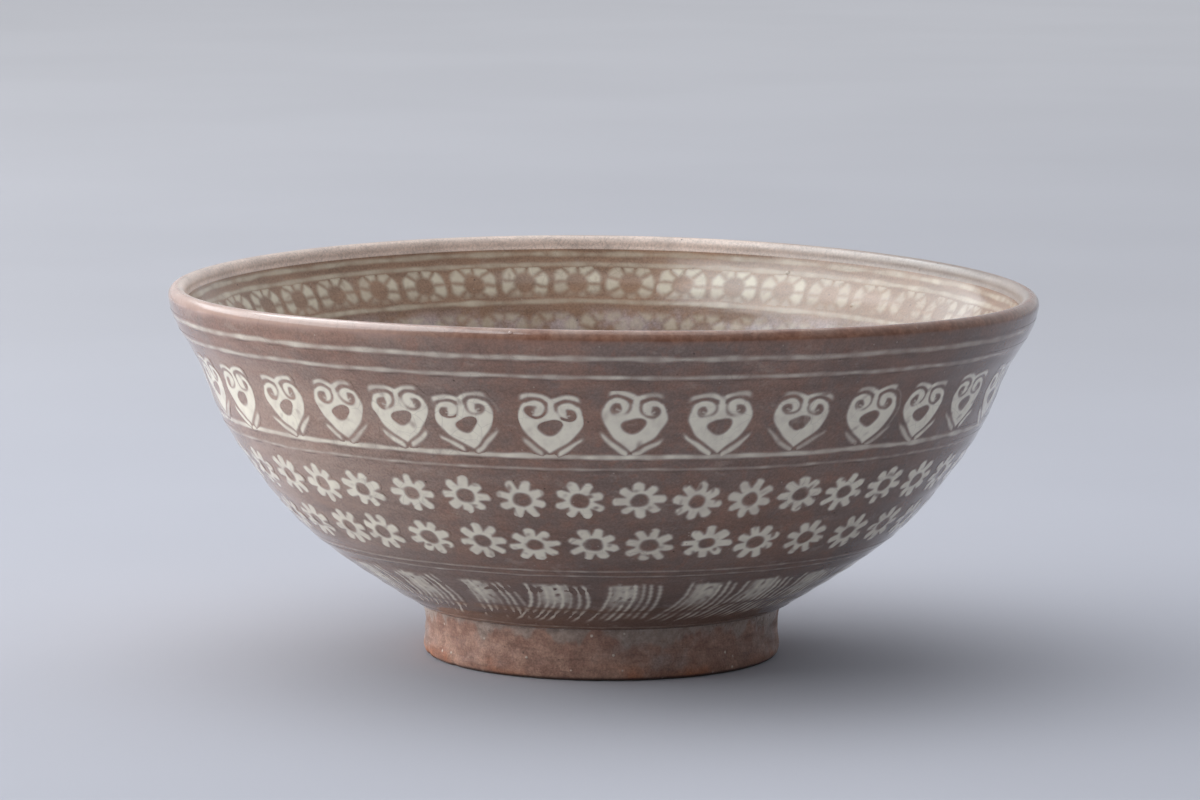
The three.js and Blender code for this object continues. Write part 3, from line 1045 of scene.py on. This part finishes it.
def foot_section():
    """The foot ring's outline as radii and heights, from its top outside to its top inside."""
    spacing, rounds = 0.28, 3
    corners = [
        (FOOT_RADIUS, FOOT_HEIGHT),
        (FOOT_RADIUS - FOOT_WAIST, FOOT_HEIGHT * 0.6),
        (FOOT_RADIUS - 0.05, FOOT_EDGE * 1.6),
        (FOOT_RADIUS - 0.30, FOOT_EDGE * 0.45),
        (FOOT_RADIUS - FOOT_EDGE, 0),
        (FOOT_INNER_FLOOR, 0),
        (FOOT_INNER_FLOOR - FOOT_EDGE / 2, FOOT_EDGE),
        (FOOT_INNER_TOP, FOOT_HEIGHT),
    ]
    path = []
    for (r0, z0), (r1, z1) in zip(corners, corners[1:]):
        steps = max(2, int(math.hypot(r1 - r0, z1 - z0) / spacing))
        path += [(r0 + (r1 - r0) * i / steps, z0 + (z1 - z0) * i / steps) for i in range(steps)]
    path.append(corners[-1])
    path = np.array(path)
    for _ in range(rounds):
        path[1:-1] = (path[:-2] + 2 * path[1:-1] + path[2:]) / 4
    path[:, 1] = np.maximum(path[:, 1], 0)
    return path


def make_foot(material):
    """The foot ring, with its side uneven and its standing edge chipped in places."""
    columns = 360
    angle = np.linspace(0, 2 * math.pi, columns, endpoint=False)
    points = []
    for r, z in foot_section():
        uneven = 0.10 * wobble(FOOT_SEED, angle * 30, z * 2.0, 7)
        uneven = uneven + 0.05 * wobble(FOOT_SEED + 1, angle * 30, z * 3.0, 2.5)
        chip = smooth((round_noise(FOOT_SEED + 2, angle, 26) - 0.95) / 0.4)
        chip = chip * 0.35 * smooth((2.2 - z) / 2) * smooth((r - FOOT_INNER_FLOOR - 0.5) / 1.0)
        points.append(bend(angle, r + uneven * smooth(z / 1.5) - chip, z))
    skin = Skin()
    skin.add(np.concatenate(points), [f[::-1] for f in ring_faces(len(points), columns)])
    skin.build("foot_ring_finished", material, ["foot_ring"], sharp=60)


def make_lines(material):
    lines = [(OUTER, *line, 0.0) for line in OUTER_LINES]
    name, up, width, covered = FOOT_LINE
    lines.append((OUTER, name, OUTER.length - up, width, covered, 0.0))
    lines += [(INNER, *line, 1.0) for line in INNER_LINES]
    for i, (face, name, down, width, covered, inside) in enumerate(lines):
        skin = Skin()
        add_line(skin, face, down, width, covered, LINE_SEED + LINE_SEED_STEP * i, inside)
        skin.build(name + "_slip", material, [name], sharp=30)


def make_hearts(material):
    for i, angle in enumerate(round_the_bowl(HEART_ANGLES, HEARTS_BEHIND)):
        skin = Skin()
        cover = heart_cover(HEART_SEED + STAMP_SEED_STEP * i)
        add_stamp(skin, OUTER, angle, HEART_DOWN, HEART_PATCH, HEART_PATCH, cover)
        name = f"heart_inlay_{i + 1:02d}"
        skin.build(name + "_slip", material, [name])


def build_row(name, stamps, together, material):
    """Builds a row of stamps as pieces that hold so many stamps each, numbered from 1."""
    for first in range(0, len(stamps), together):
        skin = Skin()
        for stamp in stamps[first : first + together]:
            add_stamp(skin, *stamp)
        skin.build(f"{name}_{first // together + 1}", material)


def make_flowers(material):
    for name, front, behind, down, seed in FLOWER_ROWS:
        rng = np.random.default_rng(seed)
        stamps = []
        for i, angle in enumerate(round_the_bowl(front, behind)):
            middle = down + rng.normal(0, 0.2)
            cover = flower_cover(seed + STAMP_SEED_STEP * i)
            stamps.append((OUTER, angle, middle, FLOWER_PATCH, FLOWER_PATCH, cover))
        build_row(name, stamps, FLOWERS_PER_PIECE, material)


def make_comb_sweeps(material):
    rng = np.random.default_rng(LEAN_SEED)
    half_height = (COMB_BOTTOM - COMB_TOP) / 2 + COMB_PATCH_MARGIN
    middle = (COMB_TOP + COMB_BOTTOM) / 2
    for i, angle in enumerate(round_the_bowl(COMB_ANGLES, COMBS_BEHIND)):
        cover = comb_cover(COMB_SEED + STAMP_SEED_STEP * i, lean=rng.normal(-3.2, 0.7))
        skin = Skin()
        add_stamp(skin, OUTER, angle, middle, COMB_PATCH_WIDTH, half_height, cover)
        skin.build(f"comb_sweep_{i + 1:02d}", material)


def make_inner_stamps(material):
    """Two rows of wheels, which get fainter towards the right."""
    for name, down, strength, offset, seed in INNER_ROWS:
        stamps = []
        for i in range(INNER_STAMPS):
            angle = 2 * math.pi * (i + 0.5 + offset) / INNER_STAMPS
            fainter = strength * (1 - 0.40 * smooth((math.sin(angle) - 0.3) / 0.5))
            cover = wedge_cover(seed + STAMP_SEED_STEP * i, fainter)
            stamps.append((INNER, angle, down, *INNER_STAMP_PATCH, cover, 1.0))
        build_row(name, stamps, INNER_STAMPS_PER_PIECE, material)


def make_floor():
    half_size, lines = 5.0, 41
    side = np.linspace(-half_size, half_size, lines)
    x, y = np.meshgrid(side, side)
    points = np.stack([x, y, 0 * x], -1).reshape(-1, 3)
    mesh = bpy.data.meshes.new("floor")
    mesh.from_pydata(points.tolist(), [], grid_faces(lines, lines, closed=False))
    mesh.materials.append(floor_material())
    floor = bpy.data.objects.new("floor", mesh)
    bpy.context.collection.objects.link(floor)


def softbox(name, place, target, width, height, power, lights=True, shines=True):
    """An area lamp: lights says that it lights surfaces, and shines that glossy ones mirror it."""
    light = bpy.data.lights.new(name, "AREA")
    light.shape = "RECTANGLE"
    light.size, light.size_y = width, height
    light.energy = power
    light.color = (1, 1, 1) if lights else WINDOW_TINT
    lamp = bpy.data.objects.new(name, light)
    lamp.visible_diffuse = lights
    lamp.visible_glossy = shines
    lamp.location = place
    lamp.rotation_euler = (Vector(target) - Vector(place)).to_track_quat("-Z", "Y").to_euler()
    bpy.context.collection.objects.link(lamp)


def make_lamps():
    """Panels above and on the left, a weak fill in front and behind, and the shine of a window."""
    softbox("top_panel", (-0.30, 0.30, PANEL_HEIGHT), (-0.30, 0.30, 0), 1.4, 1.4, 5.0)
    softbox("left_panel", (-1.0, 0.18, 0.26), (0, 0, 0.06), 1.6, 0.45, 12, shines=False)
    softbox("front_fill", (-0.30, -1.1, 0.16), (0, 0, 0.05), 1.0, 0.25, 0.4, shines=False)
    softbox("far_shine", (-1.90, 0.775, SHINE_HEIGHT), (-1.90, 0.775, 0), 1.8, 3.05, 42, lights=False)
    softbox("near_shine", (-0.64, 0, SHINE_HEIGHT), (-0.64, 0, 0), 0.72, 1.32, 9.3, lights=False)
    softbox("lip_shine", (-0.60, 0.87, SHINE_HEIGHT), (-0.60, 0.87, 0), 0.5, 0.4, 4.0, lights=False)
    softbox("back_fill", (0.85, 0.55, 0.22), (0, 0, 0.05), 0.35, 0.2, 0.2, shines=False)


def make_room():
    """Light from all round, brightest from the back, above and the left; the camera sees a plain tone."""
    n = Nodes(bpy.data.worlds.new("studio"), "Background")
    slope = n.new("ShaderNodeVectorMath", operation="DOT_PRODUCT")
    n.feed(slope.inputs[0], n.new("ShaderNodeTexCoord").outputs["Generated"])
    n.feed(slope.inputs[1], ROOM_SLOPE)
    room = n.scaled(ROOM_TINT, n.add(slope.outputs["Value"], ROOM_LEVEL))
    seen = n.new("ShaderNodeLightPath").outputs["Is Camera Ray"]
    n.feed(n.shader.inputs["Color"], n.mix(seen, room, BACKGROUND))
    bpy.context.scene.world = n.owner
    bpy.context.scene.view_settings.view_transform = "Standard"


def make_camera():
    data = bpy.data.cameras.new("camera")
    data.sensor_width = SENSOR
    data.lens = LENS
    data.clip_start, data.clip_end = 0.05, 30
    camera = bpy.data.objects.new("camera", data)
    camera.location = (0, -CAMERA_DISTANCE, CAMERA_HEIGHT)
    aim = Euler((math.pi / 2 - CAMERA_PITCH, 0, CAMERA_YAW), "XYZ").to_matrix()
    roll = Euler((0, 0, CAMERA_ROLL), "XYZ").to_matrix()
    camera.rotation_euler = (aim @ roll).to_euler()
    bpy.context.collection.objects.link(camera)
    bpy.context.scene.camera = camera


make_camera()
make_lamps()
make_room()
make_floor()
wall_glaze = glazed()
make_wall(wall_glaze)
make_foot(bare_foot())
make_lines(wall_glaze)
make_hearts(wall_glaze)
make_flowers(wall_glaze)
make_comb_sweeps(wall_glaze)
make_inner_stamps(wall_glaze)
